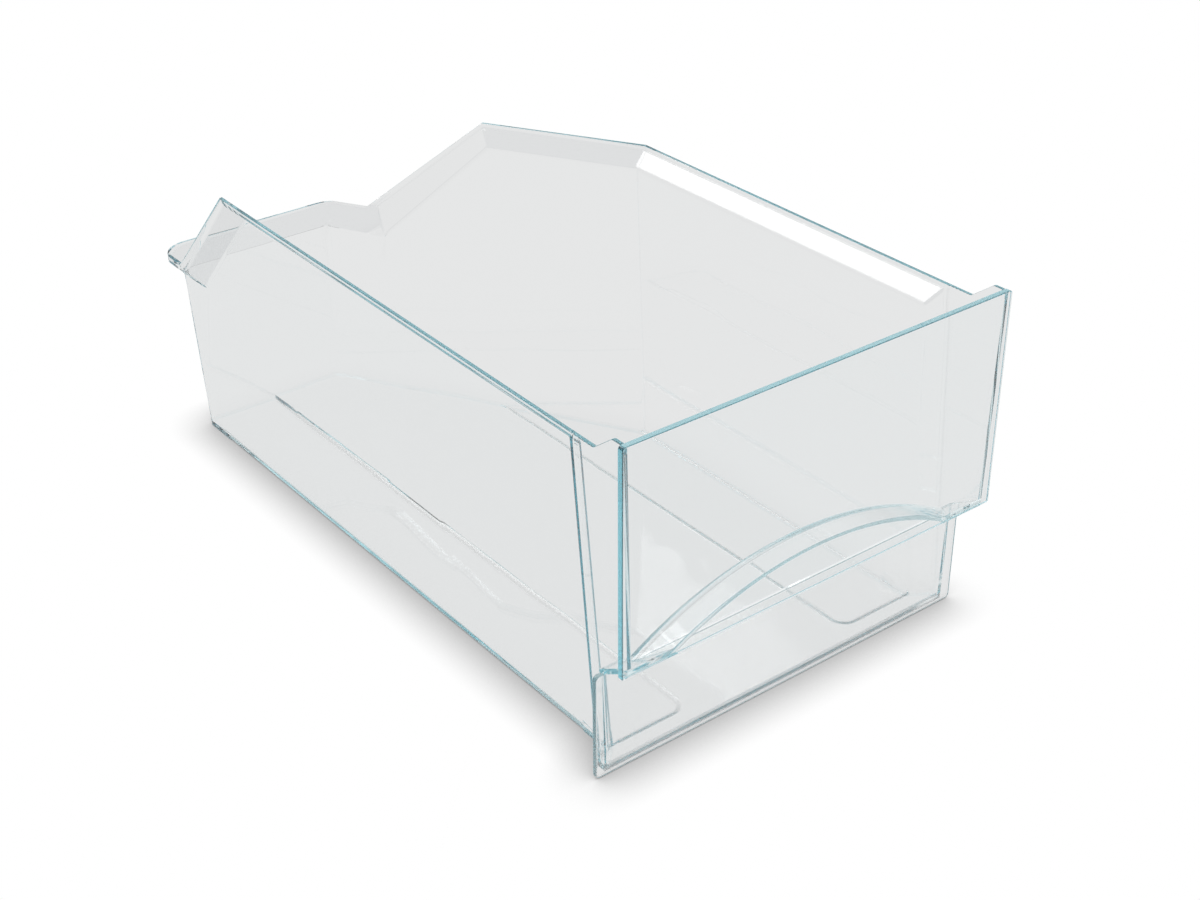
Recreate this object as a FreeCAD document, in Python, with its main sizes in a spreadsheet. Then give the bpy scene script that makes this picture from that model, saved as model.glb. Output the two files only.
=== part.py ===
import FreeCAD, Part
import math
import os
import Sketcher

# Crisper drawer of a fridge: a clear moulded bin, open at the top, with a tall flat
# front panel, an arched finger grip under it and a lower front panel set further back.
# Millimetres. X runs to the right as seen from the front, Y to the back, Z up.
# Every piece is drawn with the front face at Y = 0 and the underside at Z = 0, and is
# then placed half the depth forward, so that the origin lies under the drawer's middle.

doc = FreeCAD.newDocument("crisper_drawer")

driving = {
    # from the front face to the outer edge of the low rear rim
    "overall_depth": 448.0,
    # upper front panel
    "front_width": 234.0,
    "front_height": 186.0,
    "front_bottom": 68.5,
    "front_thickness": 3.5,
    "front_corner": 2.0,
    # thin lip that hangs in front of the finger pocket, the pocket's arch and the arch
    # of the sheet over it, whose corner towards the back is rounded
    "lip_thickness": 1.8,
    "lip_half_span": 85.8,
    "lip_rise": 21.4,
    "arch_half_span": 92.6,
    "arch_rise": 23.3,
    "arch_rounding": 6.5,
    "slope_thickness": 2.6,
    # lower front panel, which stands out a little at both sides of the upper one
    "lower_overhang": 0.5,
    "lower_set_back": 18.8,
    "lower_thickness": 2.8,
    "lower_top": 59.0,
    "lower_corner": 2.8,
    # bond line between the front pieces and the bin
    "bond": 0.05,
    # bin: its sides lie inside the front panel's ends, and their feet further in
    "side_set_in": 1.5,
    "side_foot_inset": 15.3,
    "outer_draft": 1.2,
    # angle by which the left rim closes in towards the back
    "left_rim_turn": 0.6,
    # how far the rim lies under the front panel's top edge, and the low rear rim under it
    "rim_drop": 9.9,
    "rim_fall": 64.1,
    "wall": 2.2,
    "rim_corner": 17.0,
    "wall_corner": 6.0,
    # how far the foot of the rear wall and of the diagonal wall lies inside the rim
    "rear_foot_inset": 21.0,
    "rear_bend_inset": 11.5,
    "diagonal_foot_inset": 23.2,
    # diagonal wall across the right rear corner, its angle to the side wall, where it
    # leaves the right rim, and where its rim starts and ends its fall to the low rim
    "diagonal_angle": 30.8,
    "diagonal_start": 269.4,
    "climb_top": 274.4,
    "climb_foot": 354.0,
    # collar under the level rims
    "collar_inset": 9.1,
    "collar_drop": 11.4,
    "collar_slope": 0.95,
    # left rim's ramp, with the collar that follows it
    "ramp_top": 353.0,
    "ramp_foot": 419.5,
    "ramp_lip": 2.6,
    "ramp_collar": 15.8,
    # collar that follows the falling rim of the diagonal wall
    "climb_lip": 2.2,
    "climb_collar": 13.5,
    # front ends of the side walls
    "ear_flat": 8.9,
    "ear_foot": 21.8,
    "ear_rounding": 3.0,
    "bevel_reach": 41.5,
    "bevel_foot_reach": 22.0,
    "bevel_angle": 32.5,
    # floor: a centre field a little higher than the two runner pads
    "floor_thickness": 2.5,
    "centre_rise": 1.5,
    "centre_half_width": 52.5,
    "pad_front": 33.4,
    "pad_corner": 8.0,
}

sizes = doc.addObject("Spreadsheet::Sheet", "sizes")
for row, (alias, value) in enumerate(driving.items(), start=1):
    sizes.set("A%d" % row, alias)
    sizes.set("B%d" % row, str(value))
    sizes.setAlias("B%d" % row, alias)
doc.recompute()

# Lengths and ratios that follow from the driving dimensions
derived = doc.addObject("App::VarSet", "derived")


def derive(name, formula):
    derived.addProperty("App::PropertyFloat", name, "worked_out")
    derived.setExpression(name, formula)
    doc.recompute()


def value_of(formula):
    return float(derived.evalExpression(formula))


# How far the blocks that shape the pieces run past them
derive("spare", "20")

derive("half_front", "sizes.front_width / 2")
derive("half_lower", "derived.half_front + sizes.lower_overhang")
derive("half_outer", "derived.half_front - sizes.side_set_in")
derive("rim_height", "sizes.front_height - sizes.rim_drop")
derive("low_rim_height", "derived.rim_height - sizes.rim_fall")
derive("draft", "tan(sizes.outer_draft)")
derive("half_arch", "derived.half_outer - derived.draft * (sizes.front_height - sizes.front_bottom)")
derive("left_turn", "tan(sizes.left_rim_turn)")
derive("ceiling", "sizes.front_height + derived.spare")
derive("far_back", "sizes.overall_depth + 3 * derived.spare")
derive("low_rim_inset", "derived.draft * (sizes.front_height - derived.low_rim_height)")
derive("rear_outer", "sizes.overall_depth + derived.low_rim_inset")
derive("cos_d", "cos(sizes.diagonal_angle)")
derive("sin_d", "sin(sizes.diagonal_angle)")
derive("diagonal_reach", "derived.cos_d * derived.half_outer + derived.sin_d * sizes.diagonal_start")
derive("bend_level", "derived.rim_height - sizes.collar_drop")
derive("low_bend_level", "derived.low_rim_height - sizes.collar_drop")
derive("side_lean", "(sizes.side_foot_inset - sizes.collar_inset) / derived.bend_level")
derive("rear_lean", "(sizes.rear_foot_inset - sizes.rear_bend_inset) / derived.low_bend_level")
derive("diagonal_lean", "(sizes.diagonal_foot_inset - sizes.collar_inset) / derived.bend_level")
derive("collar_cover", "sizes.wall * sqrt(1 + sizes.collar_slope ^ 2) / sizes.collar_slope")
derive("ramp_side", "derived.half_outer - derived.left_turn * sizes.ramp_top")
derive("ramp_run", "(sizes.ramp_foot - sizes.ramp_top) / sizes.rim_fall")
derive("ramp_splay", "(sizes.ramp_collar - sizes.ramp_lip) / sizes.collar_inset")
derive("climb_run", "(sizes.climb_foot - sizes.climb_top) / sizes.rim_fall")
derive("climb_splay", "(sizes.climb_collar - sizes.climb_lip) / sizes.collar_inset")
derive("bevel_run", "tan(sizes.bevel_angle)")
derive("panel_back", "sizes.front_thickness + sizes.bond")
derive("lower_back", "sizes.lower_set_back + sizes.lower_thickness")
derive("bin_front", "derived.lower_back + sizes.bond")
derive("slope_top", "sizes.front_bottom")
derive("slope_foot", "sizes.lower_top + sizes.bond")
derive("slope_run", "sizes.lower_set_back - derived.panel_back")
derive("slope_fall", "(derived.slope_top - derived.slope_foot) / derived.slope_run")
derive("slope_rise", "sizes.slope_thickness * sqrt(1 + derived.slope_fall ^ 2)")
derive("slope_end", "derived.slope_foot - derived.slope_fall * sizes.lower_thickness")
derive("slope_rear", "derived.slope_end + derived.slope_rise")
derive("bond_rise", "sizes.bond * sqrt(1 + derived.slope_fall ^ 2)")
derive("lip_radius", "(sizes.lip_half_span ^ 2 + sizes.lip_rise ^ 2) / (2 * sizes.lip_rise)")
derive("arch_radius", "(sizes.arch_half_span ^ 2 + sizes.arch_rise ^ 2) / (2 * sizes.arch_rise)")
derive("lip_centre", "sizes.front_bottom + sizes.lip_rise - derived.lip_radius")
derive("arch_centre", "sizes.front_bottom + sizes.arch_rise - derived.arch_radius")
derive("centre_top", "sizes.floor_thickness + sizes.centre_rise")
derive("pocket_rounding", "sizes.arch_rounding - (sizes.arch_rise - sizes.lip_rise)")

UP = FreeCAD.Vector(0, 0, 1)
TOLERANCE = 0.0001
LEVEL = FreeCAD.Rotation()
SIDE_ON = FreeCAD.Rotation(FreeCAD.Vector(1, 1, 1), 120)
ALONG_DIAGONAL = FreeCAD.Rotation(UP, driving["diagonal_angle"]).multiply(SIDE_ON)


# Sketches and their dimensions

def bind(sketch, constraint, formula):
    """Adds a dimension and binds it to a formula."""
    index = sketch.addConstraint(constraint)
    sketch.setExpression("Constraints[%d]" % index, formula)


def free_sketch(name, rotation, place):
    """A sketch on a plane of its own. place names the formula of each offset it has."""
    sketch = doc.addObject("Sketcher::SketchObject", name)
    sketch.Placement = FreeCAD.Placement(FreeCAD.Vector(), rotation)
    for axis, formula in place.items():
        sketch.setExpression("Placement.Base." + axis, formula)
    return sketch


def pin(sketch, item, point, place, x, y):
    """Holds one point of the sketch at the formulas x and y."""
    bind(sketch, Sketcher.Constraint("DistanceX", -1, 1, item, point, place.x), x)
    bind(sketch, Sketcher.Constraint("DistanceY", -1, 1, item, point, place.y), y)


def outline(sketch, corners):
    """Closed outline, clockwise, through corners (x, y) or, where rounded, (x, y, radius).
    An arc runs anticlockwise, so at a corner that points outwards it starts at the line
    after it, and at one that points inwards it starts at the line before."""
    spots = [FreeCAD.Vector(value_of(corner[0]), value_of(corner[1]), 0) for corner in corners]
    count = len(corners)
    starts, ends, arcs, points_inwards = {}, {}, {}, {}
    for i, corner in enumerate(corners):
        spot = spots[i]
        if len(corner) == 2:
            starts[i] = ends[i] = spot
            continue
        radius = value_of(corner[2])
        back = (spots[i - 1] - spot).normalize()
        ahead = (spots[(i + 1) % count] - spot).normalize()
        half = back.getAngle(ahead) / 2
        centre = spot + (back + ahead).normalize() * (radius / math.sin(half))
        ends[i] = spot + back * (radius / math.tan(half))
        starts[i] = spot + ahead * (radius / math.tan(half))
        turn_in = math.atan2(ends[i].y - centre.y, ends[i].x - centre.x)
        turn_out = math.atan2(starts[i].y - centre.y, starts[i].x - centre.x)
        points_inwards[i] = back.cross(ahead).z < 0
        first, last = (turn_in, turn_out) if points_inwards[i] else (turn_out, turn_in)
        if last < first:
            last += 2 * math.pi
        arcs[i] = Part.ArcOfCircle(Part.Circle(centre, UP, radius), first, last)
    for i in range(count):
        sketch.addGeometry(Part.LineSegment(starts[i], ends[(i + 1) % count]), False)
    for i, corner in enumerate(corners):
        before = (i - 1) % count
        if i not in arcs:
            sketch.addConstraint(Sketcher.Constraint("Coincident", before, 2, i, 1))
            pin(sketch, i, 1, spots[i], corner[0], corner[1])
            continue
        arc = sketch.addGeometry(arcs[i], False)
        tip = sketch.addGeometry(Part.Point(spots[i]), True)
        near, far = (1, 2) if points_inwards[i] else (2, 1)
        sketch.addConstraint(Sketcher.Constraint("Tangent", before, 2, arc, near))
        sketch.addConstraint(Sketcher.Constraint("Tangent", arc, far, i, 1))
        sketch.addConstraint(Sketcher.Constraint("PointOnObject", tip, 1, before))
        sketch.addConstraint(Sketcher.Constraint("PointOnObject", tip, 1, i))
        bind(sketch, Sketcher.Constraint("Radius", arc, value_of(corner[2])), corner[2])
        pin(sketch, tip, 1, spots[i], corner[0], corner[1])
    return sketch


def dome(sketch, radius, centre, foot):
    """Arch over the sketch's vertical axis, closed by a level line at the height foot."""
    size = value_of(radius)
    middle = FreeCAD.Vector(0, value_of(centre), 0)
    low = value_of(foot)
    side = math.asin((low - middle.y) / size)
    left_end = FreeCAD.Vector(-size * math.cos(side), low, 0)
    right_end = FreeCAD.Vector(size * math.cos(side), low, 0)
    sketch.addGeometry(Part.ArcOfCircle(Part.Circle(middle, UP, size), side, math.pi - side), False)
    sketch.addGeometry(Part.LineSegment(left_end, right_end), False)
    sketch.addConstraint(Sketcher.Constraint("Coincident", 0, 2, 1, 1))
    sketch.addConstraint(Sketcher.Constraint("Coincident", 1, 2, 0, 1))
    sketch.addConstraint(Sketcher.Constraint("Horizontal", 1))
    sketch.addConstraint(Sketcher.Constraint("PointOnObject", 0, 3, -2))
    bind(sketch, Sketcher.Constraint("Radius", 0, size), radius)
    bind(sketch, Sketcher.Constraint("DistanceY", -1, 1, 0, 3, middle.y), centre)
    bind(sketch, Sketcher.Constraint("DistanceY", -1, 1, 1, 1, low), foot)
    return sketch


# Blocks that the bin is made of

def loft(name, sections):
    block = doc.addObject("Part::Loft", name)
    block.Sections = sections
    block.Solid = True
    block.Ruled = True
    return block


def joined(kind, name, shapes):
    block = doc.addObject(kind, name)
    block.Shapes = shapes
    return block


def cut(name, base, tool):
    block = doc.addObject("Part::Cut", name)
    block.Base = base
    block.Tool = tool
    return block


def extruded(name, sketch, forward, backward):
    """Sketch pushed out along its normal by one formula and back by the other."""
    block = doc.addObject("Part::Extrusion", name)
    block.Base = sketch
    block.DirMode = "Normal"
    block.Solid = True
    block.setExpression("LengthFwd", forward)
    block.setExpression("LengthRev", backward)
    return block


def plan(name, level, side, rear, diagonal, radius, turn):
    """Plan of the bin at a level. side, rear and diagonal say how far each kind of wall
    lies inside the widest outline, which is that at the top of the front panel, and turn
    how much the left side closes in for each millimetre towards the back."""
    half = "(derived.half_outer - (%s))" % side
    back = "(derived.rear_outer - (%s))" % rear
    reach = "(derived.diagonal_reach - (%s))" % diagonal
    right_corner = "((%s - derived.cos_d * %s) / derived.sin_d)" % (reach, half)
    rear_corner = "((%s - derived.sin_d * %s) / derived.cos_d)" % (reach, back)
    return outline(free_sketch(name, LEVEL, {"z": level}), [
        ("-%s - %s * derived.spare" % (half, turn), "-derived.spare"),
        ("-%s + %s * %s" % (half, turn, back), back, radius),
        (rear_corner, back, radius),
        (half, right_corner),
        (half, "-derived.spare"),
    ])


def beyond_slope(name, rotation, place, top, run, gap):
    """Section of the region behind a falling line, which lies gap below the rim's line."""
    stretch = "sqrt(1 + %s ^ 2)" % run
    line = "%s + (derived.rim_height - (%%s)) * %s - (%s) * %s" % (top, run, gap, stretch)
    floor_level = "derived.low_bend_level - 2 * derived.spare"
    return outline(free_sketch(name, rotation, place), [
        (line % floor_level, floor_level),
        (line % "derived.ceiling", "derived.ceiling"),
        ("derived.far_back + 3 * derived.spare", "derived.ceiling"),
        ("derived.far_back + 3 * derived.spare", floor_level),
    ])


def basin(kind, cover, collar_cover, share):
    """The bin's bulk: its outside, with no cover, or the hollow in it, where cover is the
    wall's thickness. share is 0 for the outside and 1 for the hollow."""
    draft = "derived.draft * (sizes.front_height - (%s)) + " + cover
    lean = "%s - %s * (%s) + %s"
    ceiling = "derived.ceiling"
    turn_at = "(derived.left_turn * (%s) / derived.bend_level)"

    def envelope_plan(name, level):
        inset = draft % level
        radius = "sizes.rim_corner - " + cover
        return plan(kind + name, level, inset, inset, inset, radius, "derived.left_turn")

    def wall_plan(name, level):
        return plan(
            kind + name,
            level,
            lean % ("sizes.side_foot_inset", "derived.side_lean", level, cover),
            lean % ("sizes.rear_foot_inset", "derived.rear_lean", level, cover),
            lean % ("sizes.diagonal_foot_inset", "derived.diagonal_lean", level, cover),
            "sizes.wall_corner - " + cover,
            turn_at % level,
        )

    def funnel(name, bend, side, rear, diagonal):
        """All that lies above a collar, which slopes out from the wall to past the rim."""
        sections = []
        inner = "sizes.wall"
        outer = "-(sizes.rear_bend_inset + derived.spare)"
        for tag, step, level, radius in (
            ("_inner", inner, "%s - (%s) * sizes.collar_slope" % (bend, inner), "sizes.wall_corner"),
            ("_outer", outer, "%s - (%s) * sizes.collar_slope" % (bend, outer), "sizes.rim_corner"),
            ("_ceiling", outer, ceiling, "sizes.rim_corner"),
        ):
            more = " + %s + %s" % (step, collar_cover)
            insets = (side + more, rear + more, diagonal + more)
            sections.append(plan(kind + name + tag, level, *insets, radius, turn_at % bend))
        return loft(kind + name, sections)

    def falling(name, top, run, lip, splay, rotation, planes):
        """Region behind a collar that follows a falling rim, from outside the wall inwards."""
        sections = []
        for tag, inside, place in planes:
            gap = "%s + %s * (%s) - %s * sqrt(1 + %s ^ 2)" % (lip, splay, inside, cover, splay)
            sections.append(beyond_slope(kind + name + tag, rotation, place, top, run, gap))
        return loft(kind + name, sections)

    envelope = loft(kind + "_envelope", [
        envelope_plan("_envelope_foot", "-derived.spare / 2"),
        envelope_plan("_envelope_ceiling", ceiling),
    ])
    tub = loft(kind + "_tub", [
        wall_plan("_tub_foot", "-derived.spare"),
        wall_plan("_tub_ceiling", ceiling),
    ])
    collar = funnel("_collar", "derived.bend_level",
                    "sizes.collar_inset", "sizes.collar_inset", "sizes.collar_inset")
    low_collar = funnel(
        "_low_collar",
        "derived.low_bend_level",
        lean % ("sizes.side_foot_inset", "derived.side_lean", "derived.low_bend_level", "0"),
        "sizes.rear_bend_inset",
        lean % ("sizes.diagonal_foot_inset", "derived.diagonal_lean", "derived.low_bend_level", "0"),
    )
    ramp = falling("_ramp", "sizes.ramp_top", "derived.ramp_run", "sizes.ramp_lip",
                   "derived.ramp_splay", SIDE_ON, [
                       ("_outer", "-derived.spare", {"x": "-derived.ramp_side - derived.spare"}),
                       ("_inner", "derived.spare", {"x": "-derived.ramp_side + derived.spare"}),
                       ("_middle", "derived.spare", {"x": "0"}),
                   ])
    across = "(derived.diagonal_reach + (%s))"
    climb = falling("_climb", "sizes.climb_top", "derived.climb_run", "sizes.climb_lip",
                    "derived.climb_splay", ALONG_DIAGONAL, [
                        (tag, inside, {
                            "x": across % offset + " * derived.cos_d",
                            "y": across % offset + " * derived.sin_d",
                        })
                        for tag, inside, offset in (
                            ("_outer", "-derived.spare", "derived.spare"),
                            ("_inner", "derived.spare", "-derived.spare"),
                            ("_middle", "derived.spare", "-4 * derived.spare"),
                        )
                    ])
    edge = "(derived.half_outer + derived.spare)"
    inner_edge = "(derived.half_outer - 3 * derived.spare)"
    front_plans = []
    for tag, level, reach in (
        ("_foot", "-derived.spare", "sizes.bevel_foot_reach"),
        ("_ceiling", ceiling, "sizes.bevel_reach"),
    ):
        cover_along = "%s * sizes.wall * sqrt(1 + derived.bevel_run ^ 2)" % share
        at_edge = "(%s - derived.spare * derived.bevel_run - %s)" % (reach, cover_along)
        at_inner_edge = "(%s + 4 * derived.spare * derived.bevel_run)" % at_edge
        front_plans.append(outline(free_sketch(kind + "_front" + tag, LEVEL, {"z": level}), [
            ("-" + edge, "-derived.spare"),
            ("-" + edge, at_edge),
            ("-" + inner_edge, at_inner_edge),
            (inner_edge, at_inner_edge),
            (edge, at_edge),
            (edge, "-derived.spare"),
        ]))
    front_end = loft(kind + "_front", front_plans)
    falls = joined("Part::MultiFuse", kind + "_falls", [ramp, climb])
    rear = joined("Part::MultiCommon", kind + "_rear", [low_collar, falls])
    bulk = joined("Part::MultiFuse", kind + "_bulk", [tub, collar, rear, front_end])
    return joined("Part::MultiCommon", kind + "_basin", [bulk, envelope])


outside = basin("outside", "0", "0", "0")
hollow = basin("hollow", "sizes.wall", "derived.collar_cover", "1")

# Floor: the runner pads stand on the shelf and the field between them is a step higher.
# Each pad runs on under the walls, so the hollow and the underside take the same outline.

def pad_outline(name, level, side):
    inner, outer = ("sizes.centre_half_width", "derived.half_outer")
    corners = [
        (inner, "sizes.pad_front", "sizes.pad_corner"),
        (inner, "derived.far_back"),
        (outer, "derived.far_back"),
        (outer, "sizes.pad_front"),
    ]
    if side == "left":
        corners = [("-" + corner[0],) + corner[1:] for corner in reversed(corners)]
    return outline(free_sketch(name, LEVEL, {"z": level}), corners)


def floor_block(name, top, pad_top):
    """Everything under the level top, but in the pads only what is under pad_top."""
    slab = doc.addObject("Part::Box", name + "_slab")
    slab.setExpression("Length", "4 * derived.half_outer")
    slab.setExpression("Width", "2 * derived.far_back")
    slab.setExpression("Height", "derived.spare + " + top)
    slab.setExpression("Placement.Base.x", "-2 * derived.half_outer")
    slab.setExpression("Placement.Base.y", "-2 * derived.spare")
    slab.setExpression("Placement.Base.z", "-derived.spare")
    pads = []
    for side in ("left", "right"):
        pad = pad_outline(name + "_outline_" + side, pad_top, side)
        pads.append(extruded(name + "_pad_" + side, pad, "derived.spare", "0"))
    return cut(name, slab, joined("Part::MultiFuse", name + "_pads", pads))


floor_top = floor_block("floor_top", "derived.centre_top", "sizes.floor_thickness")
underside = floor_block("underside", "sizes.centre_rise", "0")
room = cut("room", hollow, floor_top)

# What is cut away above the rims and in front of the side walls
beyond = "(derived.half_outer + derived.spare)"
over_rims = extruded("over_rims", outline(free_sketch("over_rims_outline", SIDE_ON, {}), [
    ("-derived.spare", "sizes.front_height"),
    ("-derived.spare", "derived.ceiling + derived.spare"),
    ("derived.far_back + 5 * derived.spare", "derived.ceiling + derived.spare"),
    ("derived.far_back + 5 * derived.spare", "derived.rim_height"),
    ("sizes.ear_foot", "derived.rim_height", "sizes.ear_rounding"),
    ("sizes.ear_flat", "sizes.front_height", "sizes.ear_rounding"),
]), beyond, beyond)


def behind_fall(name, rotation, place, top, foot, forward, backward):
    return extruded(name, outline(free_sketch(name + "_outline", rotation, place), [
        (top, "derived.rim_height"),
        (top, "derived.ceiling + derived.spare"),
        ("derived.far_back + 5 * derived.spare", "derived.ceiling + derived.spare"),
        ("derived.far_back + 5 * derived.spare", "derived.low_rim_height"),
        (foot, "derived.low_rim_height"),
    ]), forward, backward)


over_ramp = behind_fall("over_ramp", SIDE_ON, {}, "sizes.ramp_top", "sizes.ramp_foot", "0", beyond)
over_climb = behind_fall(
    "over_climb",
    ALONG_DIAGONAL,
    {"x": "derived.diagonal_reach * derived.cos_d", "y": "derived.diagonal_reach * derived.sin_d"},
    "sizes.climb_top", "sizes.climb_foot", "2 * derived.spare", "4 * derived.spare",
)
in_front = extruded("in_front", outline(free_sketch("in_front_outline", SIDE_ON, {}), [
    ("-2 * derived.spare", "-2 * derived.spare"),
    ("-2 * derived.spare", "derived.ceiling + 2 * derived.spare"),
    ("derived.panel_back", "derived.ceiling + 2 * derived.spare"),
    ("derived.panel_back", "derived.slope_top + derived.slope_rise + derived.bond_rise"),
    ("derived.bin_front", "derived.slope_rear + derived.bond_rise - sizes.bond * derived.slope_fall"),
    ("derived.bin_front", "-2 * derived.spare"),
]), beyond, beyond)

beside_bin = [room, underside, over_rims, over_ramp, over_climb, in_front]
bin_shell = cut("bin_shell", outside, joined("Part::MultiFuse", "cut_away", beside_bin))


# Pieces of the front

piece_planes = {}


def body(name):
    piece = doc.addObject("PartDesign::Body", name)
    for feature in piece.Origin.OriginFeatures:
        piece_planes[(name, feature.Role)] = feature
    return piece


def sketch_in(piece, name, plane, offset):
    sketch = piece.newObject("Sketcher::SketchObject", name)
    sketch.AttachmentSupport = [(piece_planes[(piece.Name, plane)], "")]
    sketch.MapMode = "FlatFace"
    sketch.setExpression("AttachmentOffset.Base.z", offset)
    return sketch


def grown(piece, kind, name, sketch, length):
    """Pad or pocket of a length, from a sketch that stands on edge, towards the back."""
    feature = piece.newObject("PartDesign::" + kind, name)
    feature.Profile = sketch
    feature.setExpression("Length", length)
    feature.Reversed = kind == "Pad"
    sketch.Visibility = False
    return feature


def rounded(piece, name, feature, edge_radius, back, radius):
    """Rounds the arched edge that lies that far back on the feature."""
    doc.recompute()
    arched = [
        "Edge%d" % number
        for number, edge in enumerate(feature.Shape.Edges, start=1)
        if edge.Curve.TypeId == "Part::GeomCircle"
        and abs(edge.Curve.Radius - value_of(edge_radius)) < TOLERANCE
        and abs(edge.CenterOfMass.y - value_of(back)) < TOLERANCE
    ]
    fillet = piece.newObject("PartDesign::Fillet", name)
    fillet.Base = (feature, arched)
    fillet.setExpression("Radius", radius)
    return fillet


# Upper front panel: tall plate, thinned from behind to a lip in front of the pocket
upper = body("upper_front_panel")
plate = outline(sketch_in(upper, "upper_outline", "XZ_Plane", "0"), [
    ("-derived.half_front", "sizes.front_bottom"),
    ("-derived.half_front", "sizes.front_height", "sizes.front_corner"),
    ("derived.half_front", "sizes.front_height", "sizes.front_corner"),
    ("derived.half_front", "sizes.front_bottom"),
])
grown(upper, "Pad", "upper_plate", plate, "sizes.front_thickness")
behind_panel = "-sizes.front_thickness - derived.spare"
behind_lip = dome(sketch_in(upper, "behind_lip_outline", "XZ_Plane", behind_panel),
                  "derived.lip_radius", "derived.lip_centre", "sizes.front_bottom - derived.spare")
grown(upper, "Pocket", "behind_lip", behind_lip,
      "derived.spare + sizes.front_thickness - sizes.lip_thickness")

# Grip arch: slopes at both sides, between them a mound whose corner towards the back is
# rounded, and in the mound the room for the fingers, which leaves an arched sheet over
# them and a wall behind them
mound = body("mound")
mound_arch = dome(sketch_in(mound, "mound_outline", "XZ_Plane", "-derived.panel_back"),
                  "derived.arch_radius", "derived.arch_centre", "derived.slope_foot")
mound_block = grown(mound, "Pad", "mound_block", mound_arch,
                    "derived.lower_back - derived.panel_back")
rounded(mound, "mound_rounding", mound_block,
        "derived.arch_radius", "derived.lower_back", "sizes.arch_rounding")

finger_room = body("finger_room")
room_arch = dome(sketch_in(finger_room, "finger_room_outline", "XZ_Plane", "derived.spare"),
                 "derived.lip_radius", "derived.lip_centre", "derived.slope_foot - derived.spare")
room_block = grown(finger_room, "Pad", "room_block", room_arch,
                   "sizes.lower_set_back + derived.spare")
rounded(finger_room, "room_rounding", room_block,
        "derived.lip_radius", "sizes.lower_set_back", "derived.pocket_rounding")

slopes = extruded("slopes", outline(free_sketch("slope_outline", SIDE_ON, {}), [
    ("derived.panel_back", "derived.slope_top"),
    ("derived.panel_back", "derived.slope_top + derived.slope_rise"),
    ("derived.lower_back", "derived.slope_rear"),
    ("derived.lower_back", "derived.slope_foot"),
    ("sizes.lower_set_back", "derived.slope_foot"),
]), "derived.half_arch", "derived.half_arch")
under_slopes = extruded("under_slopes", outline(free_sketch("under_slope_outline", SIDE_ON, {}), [
    ("0", "derived.slope_foot - derived.spare"),
    ("0", "derived.slope_top + derived.panel_back * derived.slope_fall"),
    ("sizes.lower_set_back", "derived.slope_foot"),
    ("sizes.lower_set_back", "derived.slope_foot - derived.spare"),
]), beyond, beyond)
arch = cut("grip_arch", joined("Part::MultiFuse", "mound_and_slopes", [mound, slopes]),
           joined("Part::MultiFuse", "rooms", [finger_room, under_slopes]))

# Lower front panel, set back under the slopes
lower = body("lower_front_panel")
skirt = outline(sketch_in(lower, "lower_outline", "XZ_Plane", "-sizes.lower_set_back"), [
    ("-derived.half_lower", "0", "sizes.lower_corner"),
    ("-derived.half_lower", "sizes.lower_top", "sizes.lower_corner"),
    ("derived.half_lower", "sizes.lower_top", "sizes.lower_corner"),
    ("derived.half_lower", "0", "sizes.lower_corner"),
])
grown(lower, "Pad", "skirt", skirt, "sizes.lower_thickness")

PIECES = [bin_shell, upper, arch, lower]
for piece in PIECES:
    piece.Label = piece.Name
    piece.setExpression("Placement.Base.y", "-sizes.overall_depth / 2")
doc.recompute()

faults = [o.Name for o in doc.Objects if "Invalid" in o.State or "Error" in o.State]
if faults:
    raise RuntimeError("objects that failed: " + ", ".join(faults))
for piece in PIECES:
    if piece.Shape.isNull() or not piece.Shape.isValid():
        raise RuntimeError(piece.Label + " has no sound shape")

os.makedirs("parts", exist_ok=True)
for piece in PIECES:
    piece.Shape.exportStep("parts/%s.step" % piece.Label)
    box = piece.Shape.optimalBoundingBox(False, False)
    print("%-20s %8.1f cm3  solids %d  X %.2f..%.2f  Y %.2f..%.2f  Z %.2f..%.2f" % (
        piece.Label, piece.Shape.Volume / 1000, len(piece.Shape.Solids),
        box.XMin, box.XMax, box.YMin, box.YMax, box.ZMin, box.ZMax))
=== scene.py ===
from math import degrees, hypot, radians

import bmesh
import bpy
from mathutils import Euler, Matrix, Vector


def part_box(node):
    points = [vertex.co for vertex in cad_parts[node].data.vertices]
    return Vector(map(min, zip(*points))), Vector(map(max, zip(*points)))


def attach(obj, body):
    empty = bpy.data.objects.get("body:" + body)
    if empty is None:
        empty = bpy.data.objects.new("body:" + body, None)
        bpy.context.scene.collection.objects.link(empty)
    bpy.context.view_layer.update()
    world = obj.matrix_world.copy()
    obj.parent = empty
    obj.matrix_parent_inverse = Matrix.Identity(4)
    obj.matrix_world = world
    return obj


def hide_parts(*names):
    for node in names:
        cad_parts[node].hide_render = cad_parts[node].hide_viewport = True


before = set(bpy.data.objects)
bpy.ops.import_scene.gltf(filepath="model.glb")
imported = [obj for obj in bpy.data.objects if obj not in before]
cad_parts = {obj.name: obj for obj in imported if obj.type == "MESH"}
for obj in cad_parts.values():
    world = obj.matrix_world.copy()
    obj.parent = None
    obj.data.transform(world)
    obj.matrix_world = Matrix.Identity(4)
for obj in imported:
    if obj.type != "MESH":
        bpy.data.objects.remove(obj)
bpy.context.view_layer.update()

scene = bpy.context.scene


# Bin shell
# The drawer's tub: floor with two runner pads, side walls, rear wall, diagonal wall and
# the collar turned out under the rim. It is one injection moulding of clear polystyrene,
# 2.2 mm thick, with its edges eased by the mould.

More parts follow.
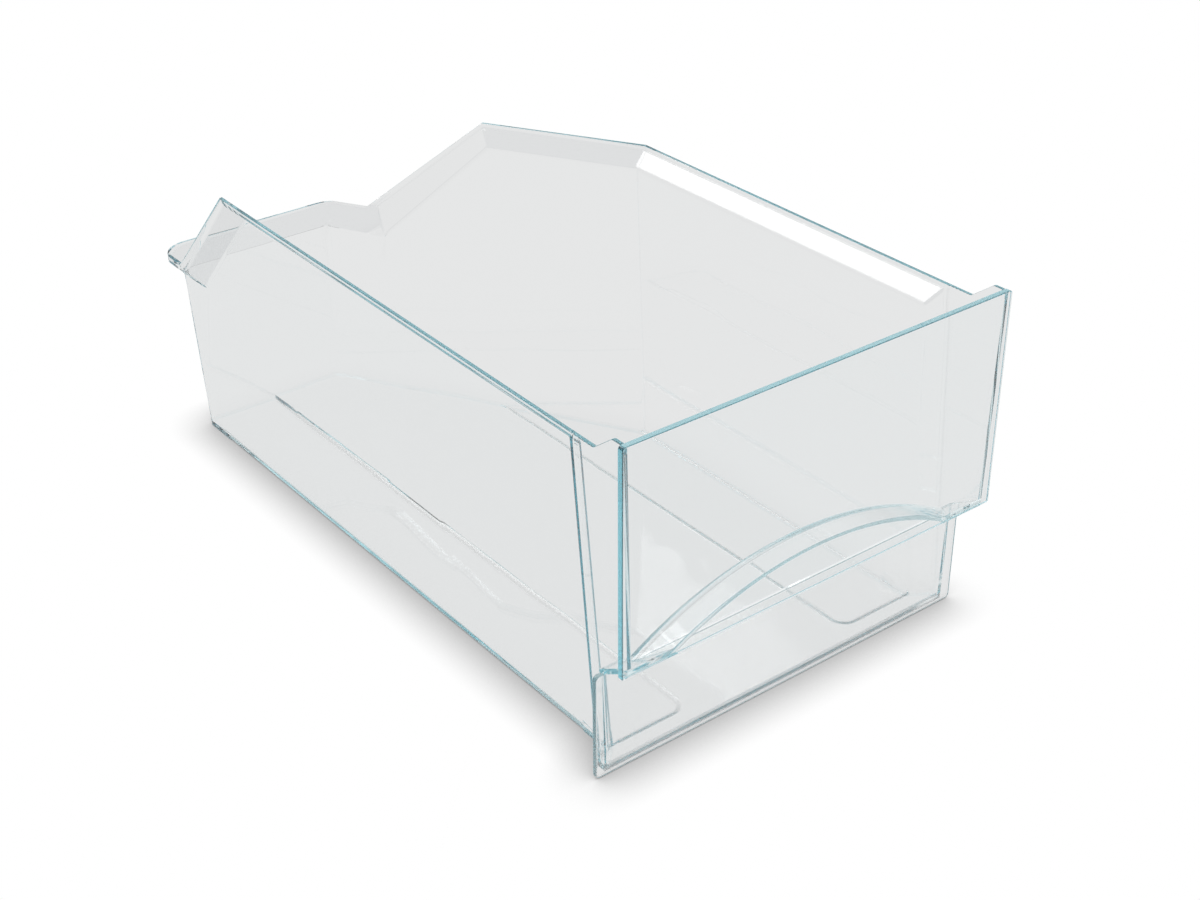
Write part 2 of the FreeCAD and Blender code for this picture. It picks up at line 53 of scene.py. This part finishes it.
def merged_copy(node, name, finest):
    """A copy of a CAD node whose triangles are joined, with no edge shorter than finest."""
    bpy.ops.object.select_all(action="DESELECT")
    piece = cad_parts[node].copy()
    piece.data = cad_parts[node].data.copy()
    piece.name = piece.data.name = name
    piece.parent = None
    for key in list(piece.keys()):
        del piece[key]
    scene.collection.objects.link(piece)
    bpy.context.view_layer.objects.active = piece
    piece.select_set(True)
    bpy.ops.object.mode_set(mode="EDIT")
    bpy.ops.mesh.select_all(action="SELECT")
    bpy.ops.mesh.remove_doubles(threshold=finest)
    bpy.ops.mesh.customdata_custom_splitnormals_clear()
    bpy.ops.mesh.dissolve_limited(angle_limit=radians(0.3))
    bpy.ops.object.mode_set(mode="OBJECT")
    return piece


def scored(piece, point, normal):
    """Cuts the faces of a piece along a plane, so that a rounding can end there."""
    bpy.ops.object.mode_set(mode="EDIT")
    bpy.ops.mesh.select_all(action="SELECT")
    bpy.ops.mesh.bisect(plane_co=point, plane_no=normal)
    bpy.ops.object.mode_set(mode="OBJECT")


def ease_edges(piece, width, steps, wanted, limited=False):
    """Rounds the edges that wanted() picks by their two ends, the bend between their faces
    and whether they stand out."""
    bpy.ops.object.mode_set(mode="EDIT")
    bpy.ops.mesh.select_mode(type="EDGE")
    bpy.ops.mesh.select_all(action="DESELECT")
    mesh = bmesh.from_edit_mesh(piece.data)
    for edge in mesh.edges:
        one, other = edge.verts
        bend = degrees(edge.calc_face_angle(0))
        if wanted(one.co, other.co, bend, edge.is_convex):
            edge.select_set(True)
    bpy.ops.mesh.bevel(
        offset=width, segments=steps, profile=0.5, affect="EDGES", clamp_overlap=limited
    )
    bpy.ops.object.mode_set(mode="OBJECT")


def smooth(piece):
    """Smooth shading that keeps the large faces flat and the true corners sharp."""
    bpy.ops.object.select_all(action="DESELECT")
    bpy.context.view_layer.objects.active = piece
    piece.select_set(True)
    bpy.ops.object.shade_smooth_by_angle(angle=radians(35))
    level = piece.modifiers.new("level_faces", "WEIGHTED_NORMAL")
    level.mode = "FACE_AREA"
    level.weight = 100
    level.keep_sharp = True
    bpy.ops.object.modifier_apply(modifier=level.name)


def calculated(tree, operation, first, second=0.0):
    """The result of one sum in a node tree. first and second are numbers or node outputs."""
    step = tree.nodes.new("ShaderNodeMath")
    step.operation = operation
    for socket, value in zip(step.inputs, (first, second)):
        if isinstance(value, float):
            socket.default_value = value
        else:
            tree.links.new(value, socket)
    return step.outputs["Value"]


def parts_of(tree, vector):
    """The X, Y and Z of a vector in a node tree."""
    split = tree.nodes.new("ShaderNodeSeparateXYZ")
    tree.links.new(vector, split.inputs["Vector"])
    return split.outputs


def mottling(tree, place, scale, detail, roughness=0.5):
    """An uneven pattern with values from 0 to 1 in a node tree."""
    noise = tree.nodes.new("ShaderNodeTexNoise")
    noise.inputs["Scale"].default_value = scale
    noise.inputs["Detail"].default_value = detail
    noise.inputs["Roughness"].default_value = roughness
    tree.links.new(place, noise.inputs["Vector"])
    return noise.outputs["Fac"]


def moulding_marks():
    """Node group for the faint marks of moulding and use: slow waves from the mould, fine
    scuffs along the drawer, and a foot that sliding has rubbed dull."""
    marks = bpy.data.node_groups.new("moulding_marks", "ShaderNodeTree")
    for name, kind in (
        ("Position", "NodeSocketVector"),
        ("Facing", "NodeSocketVector"),
        ("Clear Roughness", "NodeSocketFloat"),
        ("Scuffed Roughness", "NodeSocketFloat"),
        ("Foot Height", "NodeSocketFloat"),
        ("Level Limit", "NodeSocketFloat"),
    ):
        marks.interface.new_socket(name, in_out="INPUT", socket_type=kind)
    for name in ("Roughness", "Waves"):
        marks.interface.new_socket(name, in_out="OUTPUT", socket_type="NodeSocketFloat")
    given = marks.nodes.new("NodeGroupInput").outputs
    result = marks.nodes.new("NodeGroupOutput").inputs

    waves = mottling(marks, given["Position"], 16, 1.5, 0.35)
    marks.links.new(waves, result["Waves"])

    along_drawer = marks.nodes.new("ShaderNodeVectorMath")
    along_drawer.operation = "MULTIPLY"
    along_drawer.inputs[1].default_value = (320, 24, 320)
    marks.links.new(given["Position"], along_drawer.inputs[0])
    scratches = mottling(marks, along_drawer.outputs["Vector"], 1, 5)
    patches = mottling(marks, given["Position"], 22, 3)
    scuffs = marks.nodes.new("ShaderNodeMapRange")
    scuffs.inputs["From Min"].default_value = 0.22
    scuffs.inputs["From Max"].default_value = 0.5
    marks.links.new(calculated(marks, "MULTIPLY", scratches, patches), scuffs.inputs["Value"])
    marks.links.new(given["Clear Roughness"], scuffs.inputs["To Min"])
    marks.links.new(given["Scuffed Roughness"], scuffs.inputs["To Max"])

    height = parts_of(marks, given["Position"])["Z"]
    foot = calculated(marks, "LESS_THAN", height, given["Foot Height"])
    level = calculated(marks, "ABSOLUTE", parts_of(marks, given["Facing"])["Z"])
    steep = calculated(marks, "LESS_THAN", level, given["Level Limit"])
    rubbed = calculated(marks, "MULTIPLY", calculated(marks, "MULTIPLY", foot, steep), 0.4)
    roughest = calculated(marks, "MAXIMUM", scuffs.outputs["Result"], rubbed)
    marks.links.new(roughest, result["Roughness"])
    return marks


marks = moulding_marks()


def clear_plastic(name, clear, scuffed, foot_height=0.0, level_limit=0.97):
    """Clear plastic, teal in its depth. clear and scuffed are its least and most roughness.
    It is rubbed dull under foot_height, but not where it is more level than level_limit."""
    material = bpy.data.materials.new(name)
    material.use_nodes = True
    nodes, links = material.node_tree.nodes, material.node_tree.links
    shader = nodes["Principled BSDF"]
    shader.inputs["Base Color"].default_value = (1, 1, 1, 1)
    shader.inputs["Transmission Weight"].default_value = 1
    shader.inputs["IOR"].default_value = 1.57
    place = nodes.new("ShaderNodeTexCoord")
    surface = nodes.new("ShaderNodeGroup")
    surface.name = "surface"
    surface.node_tree = marks
    surface.inputs["Clear Roughness"].default_value = clear
    surface.inputs["Scuffed Roughness"].default_value = scuffed
    surface.inputs["Foot Height"].default_value = foot_height
    surface.inputs["Level Limit"].default_value = level_limit
    links.new(place.outputs["Object"], surface.inputs["Position"])
    links.new(place.outputs["Normal"], surface.inputs["Facing"])
    links.new(surface.outputs["Roughness"], shader.inputs["Roughness"])
    relief = nodes.new("ShaderNodeBump")
    relief.inputs["Strength"].default_value = 0.25
    relief.inputs["Distance"].default_value = 0.001
    links.new(surface.outputs["Waves"], relief.inputs["Height"])
    links.new(relief.outputs["Normal"], shader.inputs["Normal"])
    depth = nodes.new("ShaderNodeVolumeAbsorption")
    depth.inputs["Color"].default_value = (0.12, 0.68, 0.77, 1)
    depth.inputs["Density"].default_value = 6
    links.new(depth.outputs["Volume"], nodes["Material Output"].inputs["Volume"])
    return material


def finish(piece, node, material):
    """Gives a piece its material, hides the CAD node it stands for and hangs the piece on the
    root body.
    """
    piece.data.materials.clear()
    piece.data.materials.append(material)
    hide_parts(node)
    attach(piece, "root")


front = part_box("upper_front_panel")[0].y
rear_corners = front + 0.424
above_foot = 0.012
above_floor = 0.0045
NEAR = 0.00005
bin_shell = merged_copy("bin_shell", "bin_shell_moulding", 0.0003)

# The bends where walls, collar and ears meet, down to the foot
bend_rounding = 0.0013
shortest_bend = 0.006
scored(bin_shell, (0, 0, above_foot), (0, 0, 1))


def is_bend(one, other, bend, stands_out):
    above = min(one.z, other.z) > above_foot - NEAR
    before_rear = max(one.y, other.y) < rear_corners
    return 15 < bend < 75 and above and before_rear and (one - other).length > shortest_bend


ease_edges(bin_shell, bend_rounding, 4, is_bend)

# The feet of the side walls, outside and inside
foot_start = front + 0.052
foot_end = front + 0.400
pad_side = 0.094
outer_foot_rounding = 0.0019
inner_foot_rounding = 0.0012
for reach in (foot_start, foot_end):
    scored(bin_shell, (0, reach, 0), (0, 1, 0))


def is_side_foot(one, other, bend):
    along = foot_start - NEAR < min(one.y, other.y) and max(one.y, other.y) < foot_end + NEAR
    low = max(one.z, other.z) < 0.003 and min(abs(one.x), abs(other.x)) > pad_side
    return 75 < bend < 100 and low and along and abs(one.x - other.x) < 0.001


def is_outer_foot(one, other, bend, stands_out):
    return stands_out and is_side_foot(one, other, bend)


def is_inner_foot(one, other, bend, stands_out):
    return not stands_out and is_side_foot(one, other, bend)


ease_edges(bin_shell, outer_foot_rounding, 5, is_outer_foot)
ease_edges(bin_shell, inner_foot_rounding, 5, is_inner_foot)

# The two edges of the rim
rim_rounding = 0.0006
lowest_rim = 0.110


def is_rim(one, other, bend, stands_out):
    high = min(one.z, other.z) > lowest_rim
    return 75 < bend < 100 and high and max(one.y, other.y) < rear_corners


ease_edges(bin_shell, rim_rounding, 3, is_rim)

# Between the floor's centre field and its pads lies a soft slope, not a wall. Its edge on
# the pad moves into the pad, its edge on the field moves away from it, and both are rounded.
pad_edge = 0.0525
pad_front = front + 0.0334
pad_corner = 0.008
corner_x = pad_edge + pad_corner
corner_y = pad_front + pad_corner
slope_reach = 0.001
step_rounding = 0.0010
for side in (-pad_side, pad_side):
    scored(bin_shell, (side, 0, 0), (1, 0, 0))


def select_step(hand, on_pad, wanted):
    """Selects one edge of a pad's step, on its hand's side of the drawer, where wanted() says
    how far a point is from the step. on_pad tells the edge on the pad from the other one."""
    bpy.ops.mesh.select_mode(type="VERT")
    bpy.ops.mesh.select_all(action="DESELECT")
    mesh = bmesh.from_edit_mesh(bin_shell.data)
    for point in mesh.verts:
        across, along, height = hand * point.co.x, point.co.y, point.co.z
        inside = 0 < across < pad_side + NEAR and along < foot_end + NEAR
        pad_level = height < 0.0004 or 0.0021 < height < 0.0029
        on_floor = height < above_floor and pad_level == on_pad
        if inside and on_floor and abs(wanted(across, along)) < 0.0004:
            point.select_set(True)


def from_side(across, along):
    return across - pad_edge if along > corner_y else 1


def from_front(across, along):
    return along - pad_front if along <= corner_y and across > corner_x else 1


def from_corner(across, along):
    round_part = along <= corner_y and across <= corner_x
    return hypot(across - corner_x, along - corner_y) - pad_corner if round_part else 1


bpy.ops.object.mode_set(mode="EDIT")
for hand in (-1, 1):
    for on_pad, shift in ((True, slope_reach), (False, -slope_reach)):
        select_step(hand, on_pad, from_side)
        bpy.ops.transform.translate(value=(hand * shift, 0, 0))
        select_step(hand, on_pad, from_front)
        bpy.ops.transform.translate(value=(0, shift, 0))
        select_step(hand, on_pad, from_corner)
        growth = 1 - shift / pad_corner
        centre = (hand * corner_x, corner_y, 0)
        bpy.ops.transform.resize(value=(growth, growth, 1), center_override=centre)
bpy.ops.object.mode_set(mode="OBJECT")


def is_step(one, other, bend, stands_out):
    across, along = max(abs(one.x), abs(other.x)), max(one.y, other.y)
    inside = across < pad_side + NEAR and along < foot_end + NEAR
    return 25 < bend < 50 and max(one.z, other.z) < above_floor and inside


ease_edges(bin_shell, step_rounding, 4, is_step)
smooth(bin_shell)

bin_plastic = clear_plastic("clear_bin_plastic", 0.0, 0.05, foot_height=0.0016)
tree = bin_plastic.node_tree
shader = tree.nodes["Principled BSDF"]
position = parts_of(tree, tree.nodes["Texture Coordinate"].outputs["Object"])
facing = parts_of(tree, tree.nodes["Texture Coordinate"].outputs["Normal"])

# The floor's front end is dull where it is welded to the lower front panel
weld_end = front + 0.0235
at_front = calculated(tree, "LESS_THAN", position["Y"], weld_end)
in_floor = calculated(tree, "LESS_THAN", position["Z"], above_floor)
weld = calculated(tree, "MULTIPLY", at_front, in_floor)
dull = calculated(tree, "MULTIPLY", weld, 0.6)
roughness = calculated(tree, "MAXIMUM", tree.nodes["surface"].outputs["Roughness"], dull)
tree.links.new(roughness, shader.inputs["Roughness"])

# Painted shade: the sloping collar is coloured a touch greyer than the walls, standing in for the
# dimmer light it mirrors, but not where it faces sideways
slope = calculated(tree, "ABSOLUTE", facing["Z"])
least = calculated(tree, "GREATER_THAN", slope, 0.38)
most = calculated(tree, "LESS_THAN", slope, 0.86)
sloping = calculated(tree, "MULTIPLY", least, most)
lengthwise = calculated(tree, "GREATER_THAN", calculated(tree, "ABSOLUTE", facing["Y"]), 0.15)
high = calculated(tree, "GREATER_THAN", position["Z"], 0.100)
collar = calculated(tree, "MULTIPLY", calculated(tree, "MULTIPLY", sloping, lengthwise), high)
# The painted shade: white where the mask is 0, light grey on the collar
painted_collar_shade = tree.nodes.new("ShaderNodeMix")
painted_collar_shade.data_type = "RGBA"
painted_collar_shade.inputs[6].default_value = (1, 1, 1, 1)
painted_collar_shade.inputs[7].default_value = (0.90, 0.905, 0.91, 1)
tree.links.new(collar, painted_collar_shade.inputs["Factor"])
tree.links.new(painted_collar_shade.outputs[2], shader.inputs["Base Color"])

finish(bin_shell, "bin_shell", bin_plastic)


# Upper front panel
# The tall flat plate that closes the drawer and hides it when it is shut. Moulded from the
# same clear polystyrene, 3.5 mm thick and 1.8 mm over the finger pocket, and welded on.

def is_edge(one, other, bend, stands_out):
    return bend > 30


upper_panel = merged_copy("upper_front_panel", "upper_front_moulding", 0.00001)
ease_edges(upper_panel, 0.0006, 3, is_edge)
smooth(upper_panel)
front_plastic = clear_plastic("clear_front_plastic", 0.0, 0.04)
finish(upper_panel, "upper_front_panel", front_plastic)


# Grip arch
# The arched ceiling over the finger pocket, with a slope at each side that leads from the
# upper to the lower panel. It is a clear moulding between the two, about 2 mm thick.

arch = merged_copy("grip_arch", "grip_arch_moulding", 0.00001)
ease_edges(arch, 0.0003, 2, is_edge, limited=True)
smooth(arch)
grip_plastic = clear_plastic("clear_grip_plastic", 0.0, 0.06)
finish(arch, "grip_arch", grip_plastic)


# Lower front panel
# The plate under the grip, set 19 mm back and standing on the shelf. Hands and the shelf
# rub it, so its clear plastic has gone slightly hazy and its foot dull.

lower_panel = merged_copy("lower_front_panel", "lower_front_moulding", 0.00001)
ease_edges(lower_panel, 0.0010, 4, is_edge)
smooth(lower_panel)
hazy_plastic = clear_plastic("hazy_front_plastic", 0.06, 0.18, foot_height=0.0012, level_limit=2)
finish(lower_panel, "lower_front_panel", hazy_plastic)


# Studio floor
# A pale floor of matt paper. To the camera it is a white glow with the drawer's soft shadow
# painted into it. Where it is seen through the plastic or mirrored in it, it is a light grey glow
# with a fainter painted shade under the drawer.

bpy.ops.object.select_all(action="DESELECT")
bpy.ops.mesh.primitive_plane_add(size=12, location=(0, 0, -0.0002))
bpy.ops.object.transform_apply(location=True)
floor = bpy.context.object
floor.name = "studio_floor"
paper = bpy.data.materials.new("studio_paper")
paper.use_nodes = True
nodes, links = paper.node_tree.nodes, paper.node_tree.links
matt = nodes["Principled BSDF"]
matt.inputs["Base Color"].default_value = (0.95, 0.95, 0.95, 1)
matt.inputs["Roughness"].default_value = 0.9
matt.inputs["Specular IOR Level"].default_value = 0
shadow_occlusion = nodes.new("ShaderNodeAmbientOcclusion")
shadow_occlusion.samples = 8
shadow_occlusion.inputs["Distance"].default_value = 0.027
rays = nodes.new("ShaderNodeLightPath").outputs


def painted_shadow_glow(low, high):
    """A glow that falls from high in the open to low right under the drawer: a painted shadow,
    set by how closely the drawer covers the floor.
    """
    strength = nodes.new("ShaderNodeMapRange")
    strength.inputs["To Min"].default_value = low
    strength.inputs["To Max"].default_value = high
    links.new(shadow_occlusion.outputs["AO"], strength.inputs["Value"])
    glow = nodes.new("ShaderNodeEmission")
    links.new(strength.outputs["Result"], glow.inputs["Strength"])
    return glow.outputs["Emission"]


def either(tree, factor, first, second):
    """The first shader where factor is 0, and the second where it is 1."""
    mix = tree.nodes.new("ShaderNodeMixShader")
    tree.links.new(factor, mix.inputs["Fac"])
    tree.links.new(first, mix.inputs[1])
    tree.links.new(second, mix.inputs[2])
    return mix.outputs["Shader"]


# To the camera the floor is a glow with a painted shadow; other rays find the matt paper
seen = either(paper.node_tree, rays["Is Camera Ray"], matt.outputs["BSDF"], painted_shadow_glow(0.1, 1.0))
seen_through = calculated(
    paper.node_tree, "MAXIMUM", rays["Is Transmission Ray"], rays["Is Glossy Ray"]
)
# Seen through the plastic or mirrored in it, the floor is a grey glow with a fainter painted
# shade
look = either(paper.node_tree, seen_through, seen, painted_shadow_glow(0.74, 0.80))
links.new(look, nodes["Material Output"].inputs["Surface"])
floor.data.materials.append(paper)


# Surroundings
# A plain studio, white to the camera. On the plastic and through it, it is a pale grey that
# darkens towards the horizon.

world = bpy.data.worlds.new("studio")
scene.world = world
world.use_nodes = True
nodes, links = world.node_tree.nodes, world.node_tree.links
direction = nodes.new("ShaderNodeTexCoord")
sky = nodes.new("ShaderNodeMapRange")
sky.interpolation_type = "SMOOTHSTEP"
sky.inputs["From Min"].default_value = 0.05
sky.inputs["From Max"].default_value = 0.6
sky.inputs["To Min"].default_value = 0.55
sky.inputs["To Max"].default_value = 0.95
upwards = parts_of(world.node_tree, direction.outputs["Generated"])["Z"]
links.new(upwards, sky.inputs["Value"])
walls = nodes["Background"]
walls.inputs["Color"].default_value = (1, 1, 1, 1)
links.new(sky.outputs["Result"], walls.inputs["Strength"])
backdrop = nodes.new("ShaderNodeBackground")
backdrop.inputs["Color"].default_value = (1, 1, 1, 1)
backdrop.inputs["Strength"].default_value = 1.0
camera_ray = nodes.new("ShaderNodeLightPath").outputs["Is Camera Ray"]
studio = either(
    world.node_tree, camera_ray, walls.outputs["Background"], backdrop.outputs["Background"]
)
links.new(studio, nodes["World Output"].inputs["Surface"])


# Lamp
# A wide softbox overhead and behind, placed so that the right collar mirrors it and the
# collar at the rear doesn't.

softbox = bpy.data.lights.new("overhead_softbox", "AREA")
softbox.shape = "RECTANGLE"
softbox.size = 0.8
softbox.size_y = 1.3
softbox.energy = 8
overhead = bpy.data.objects.new("overhead_softbox", softbox)
scene.collection.objects.link(overhead)
overhead.location = (-0.75, 1.45, 1.6)


# Camera
# Fitted to the photograph's straight edges: about 31 degrees down and 38 degrees to the
# left of the front, a metre away.

camera = bpy.data.cameras.new("camera")
camera.sensor_width = 36
camera.lens = 55.93
viewpoint = bpy.data.objects.new("camera", camera)
scene.collection.objects.link(viewpoint)
viewpoint.location = (-0.5189, -0.7279, 0.5690)
gaze = Euler((radians(90 - 30.75), 0, radians(-37.77))).to_matrix()
viewpoint.rotation_euler = (gaze @ Matrix.Rotation(radians(-0.40), 3, "Z")).to_euler()
scene.camera = viewpoint
scene.view_settings.view_transform = "Standard"

# Clear plastic needs many bounces, or its edges turn black
scene.cycles.max_bounces = 96
scene.cycles.transmission_bounces = 96
scene.cycles.glossy_bounces = 96
scene.cycles.transparent_max_bounces = 32
